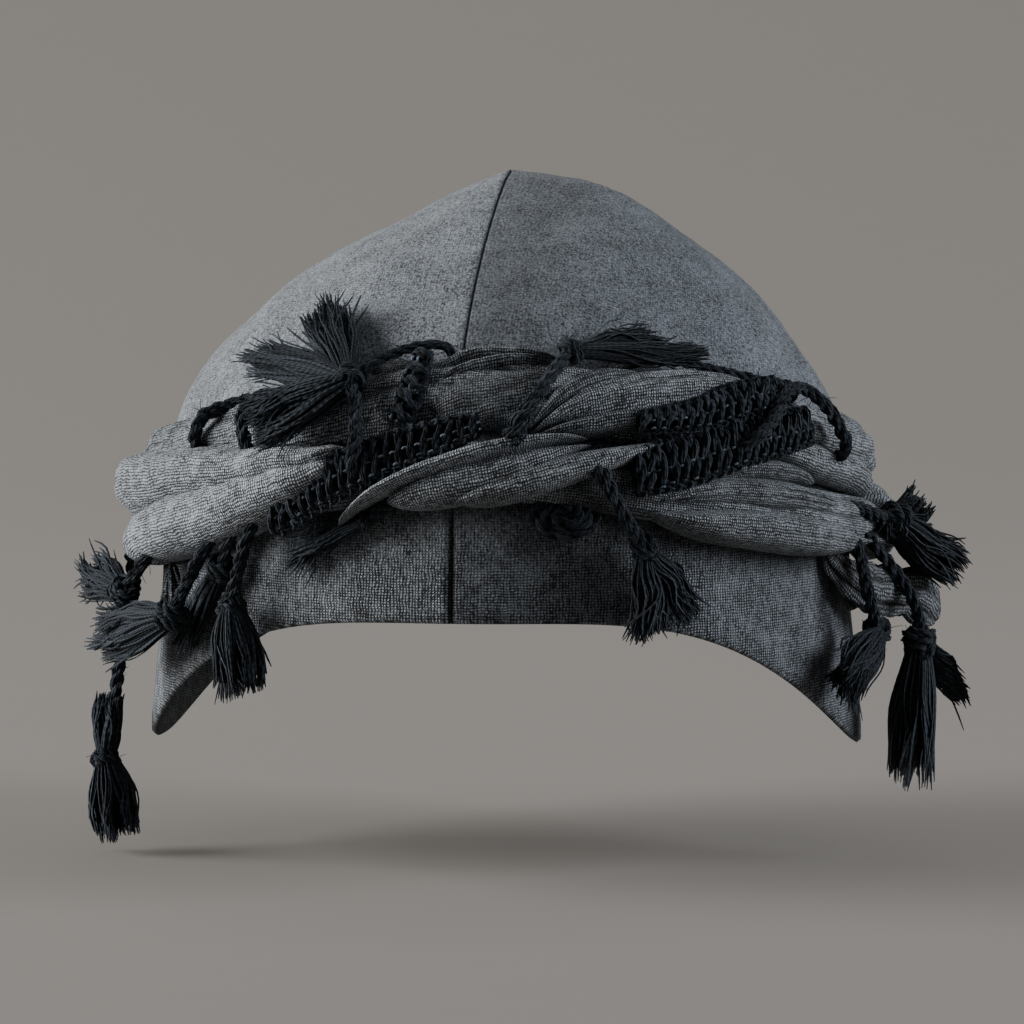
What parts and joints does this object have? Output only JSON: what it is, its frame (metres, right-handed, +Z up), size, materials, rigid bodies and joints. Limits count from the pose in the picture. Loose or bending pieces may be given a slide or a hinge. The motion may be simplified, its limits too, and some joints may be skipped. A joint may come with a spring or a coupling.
{
  "type": "turban",
  "caption": "Head wrap: a two-panel knitted cap with a gathered scarf twisted round it above the brow, trimmed with black braided gimp, cords and tassels.",
  "frame": {"origin": "middle of the head opening, level with the brow edge in front", "axes": "+Z up as worn, -Y towards the front where the scarf is twisted, +X towards the wearer's left, which is the viewer's right"},
  "size_m": [0.2467, 0.2281, 0.1822],
  "materials": {
    "jersey_light": "fine heathered grey jersey knit, matt, mid grey",
    "jersey_dark": "fine heathered grey jersey knit, matt, darker than the left panel",
    "scarf_jersey": "fine heathered grey jersey knit, gathered, matt",
    "black_yarn": "black cotton yarn, twisted, braided and combed into tassels, faintly blue, low sheen"
  },
  "bodies": {
    "root": {"cap_panel_left": "jersey_light", "cap_panel_right": "jersey_dark", "scarf_strand_lower": "scarf_jersey", "scarf_strand_upper": "scarf_jersey", "scarf_end_right": "scarf_jersey", "scarf_end_left": "scarf_jersey", "gimp_left": "black_yarn", "gimp_right_lower": "black_yarn", "gimp_right_upper": "black_yarn", "gimp_collar": "black_yarn", "cord_collar": "black_yarn", "cord_top_edge": "black_yarn", "cord_loop_right": "black_yarn", "cord_left_outer": "black_yarn", "cord_left_inner": "black_yarn", "cord_coil": "black_yarn", "tassel_left_upper": "black_yarn", "tassel_middle_upper": "black_yarn", "tassel_right_outer": "black_yarn", "tassel_right_inner": "black_yarn", "tassel_right_hanging": "black_yarn", "tassel_left_outer": "black_yarn", "tassel_left_wide": "black_yarn", "tassel_left_inner": "black_yarn", "tassel_left_hanging": "black_yarn", "tassel_front_left": "black_yarn", "tassel_front_small": "black_yarn", "tassel_front_right": "black_yarn"}
  },
  "joints": []
}
